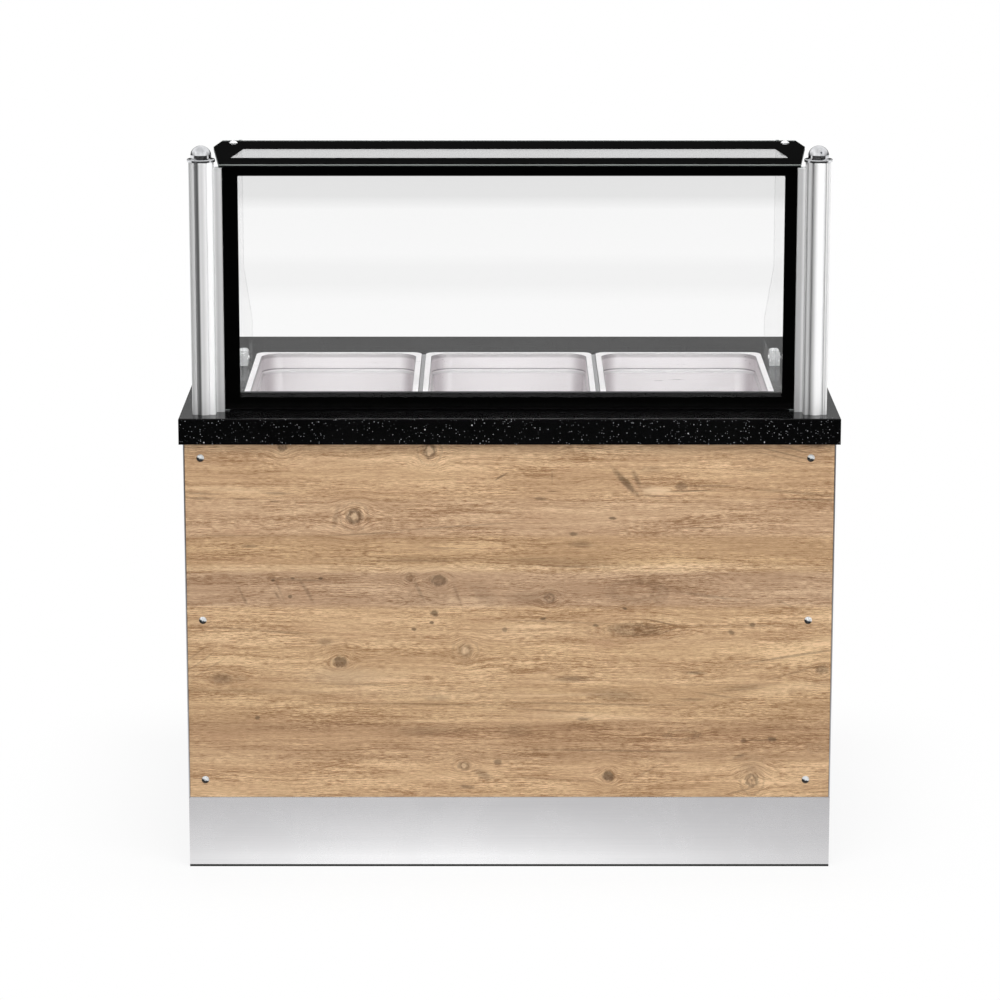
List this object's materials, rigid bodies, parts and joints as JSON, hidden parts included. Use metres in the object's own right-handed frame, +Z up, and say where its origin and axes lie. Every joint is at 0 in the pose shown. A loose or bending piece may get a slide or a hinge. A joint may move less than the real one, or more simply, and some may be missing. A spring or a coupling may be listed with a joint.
{
  "type": "bain marie counter",
  "caption": "Serving counter with a heated water tank for gastronorm pans under a glass hood on bright posts, granite worktop, wood-faced body, steel plinth and rear doors.",
  "frame": {"origin": "on the floor, under the middle of the worktop", "axes": "+Z up; -Y towards the customer, who sees the wood front; +Y towards the operator; +X to the customer's right"},
  "size_m": [1.2, 0.85, 1.339],
  "materials": {
    "stainless": "brushed satin",
    "galvanised": "matt zinc",
    "zinc_screw": "bright zinc",
    "chrome": "mirror",
    "bright_aluminium": "bright anodised",
    "black_aluminium": "satin black",
    "granite": "polished, light flecks",
    "wood_laminate": "matt laminate, pine figure",
    "plywood": "raw",
    "glass": "clear tempered",
    "black_print": "fired enamel",
    "black_rubber": "matt",
    "black_plastic": "fine grain",
    "grey_plastic": "matt",
    "amber_lens": "clear amber",
    "lever_red": "dipped vinyl",
    "brass": "nickel plated",
    "mineral_wool": "pressed board",
    "heater_steel": "heat tinted"
  },
  "bodies": {
    "counter": {"corner_uprights": "stainless", "base_rails": "stainless", "top_rails": "stainless", "levelling_feet": "stainless", "side_panels": "stainless", "front_inner_sheet": "stainless", "front_wood_panel": "wood_laminate", "front_panel_screws": "chrome", "plinth_front": "stainless", "plinth_sides": "stainless", "plinth_rear": "stainless", "plinth_seal": "black_rubber", "bottom_shelf": "stainless", "granite_worktop": "granite", "worktop_substrate": "plywood", "tank_walls": "stainless", "tank_bottom": "stainless", "tank_flange": "stainless", "pan_support_bars": "stainless", "tank_insulation": "mineral_wool", "tank_casing": "galvanised", "heating_elements": "heater_steel", "element_clamps": "galvanised", "thermostat_probe": "brass", "drain_strainer": "stainless", "drain_tailpipe": "stainless", "valve_body": "brass", "waste_pipe": "stainless", "glass_posts": "bright_aluminium", "post_studs": "zinc_screw", "post_caps": "chrome", "front_glass": "glass", "glass_prints": "black_print", "front_glass_channel": "black_aluminium", "top_glass": "glass", "side_glasses": "glass", "side_glass_clamps": "chrome", "top_glass_fixings": "chrome", "control_panel": "stainless", "thermostat_body": "grey_plastic", "switch_housing": "black_plastic", "pilot_lamp": "amber_lens", "terminal_block": "grey_plastic", "cable_gland": "black_plastic", "door_hinges": "stainless", "door_magnets": "black_plastic"},
    "pan_left": {"pan_left": "stainless"},
    "pan_centre": {"pan_centre": "stainless"},
    "pan_right": {"pan_right": "stainless"},
    "right_door": {"right_door": "stainless", "right_door_liner": "stainless", "right_door_handle": "stainless"},
    "left_door": {"left_door": "stainless", "left_door_liner": "stainless", "left_door_handle": "stainless"},
    "thermostat_knob": {"thermostat_knob": "black_plastic", "thermostat_spindle": "zinc_screw"},
    "switch_rocker": {"switch_rocker": "black_plastic"},
    "drain_valve": {"valve_ball": "chrome", "valve_lever": "lever_red"}
  },
  "joints": [
    {"name": "pan_left_lift", "type": "slide", "parent": "counter", "child": "pan_left", "axis": [0, 0, 1], "range_m": [0, 0.2]},
    {"name": "pan_centre_lift", "type": "slide", "parent": "counter", "child": "pan_centre", "axis": [0, 0, 1], "range_m": [0, 0.2]},
    {"name": "pan_right_lift", "type": "slide", "parent": "counter", "child": "pan_right", "axis": [0, 0, 1], "range_m": [0, 0.2]},
    {"name": "right_door_hinge", "type": "hinge", "parent": "counter", "child": "right_door", "pos_m": [0.5165, 0.377, 0.385], "axis": [0, 0, -1], "range_deg": [0, 110]},
    {"name": "left_door_hinge", "type": "hinge", "parent": "counter", "child": "left_door", "pos_m": [-0.5165, 0.377, 0.385], "axis": [0, 0, 1], "range_deg": [0, 110]},
    {"name": "thermostat_turn", "type": "hinge", "parent": "counter", "child": "thermostat_knob", "pos_m": [-0.2685, 0.385, 0.714], "axis": [0, -1, 0], "range_deg": [0, 270]},
    {"name": "switch_rock", "type": "hinge", "parent": "counter", "child": "switch_rocker", "pos_m": [-0.1785, 0.38, 0.714], "axis": [1, 0, 0], "range_deg": [0, 20]},
    {"name": "drain_valve_turn", "type": "hinge", "parent": "counter", "child": "drain_valve", "pos_m": [0.4255, 0.146, 0.5608], "axis": [0, -1, 0], "range_deg": [0, 90]}
  ]
}
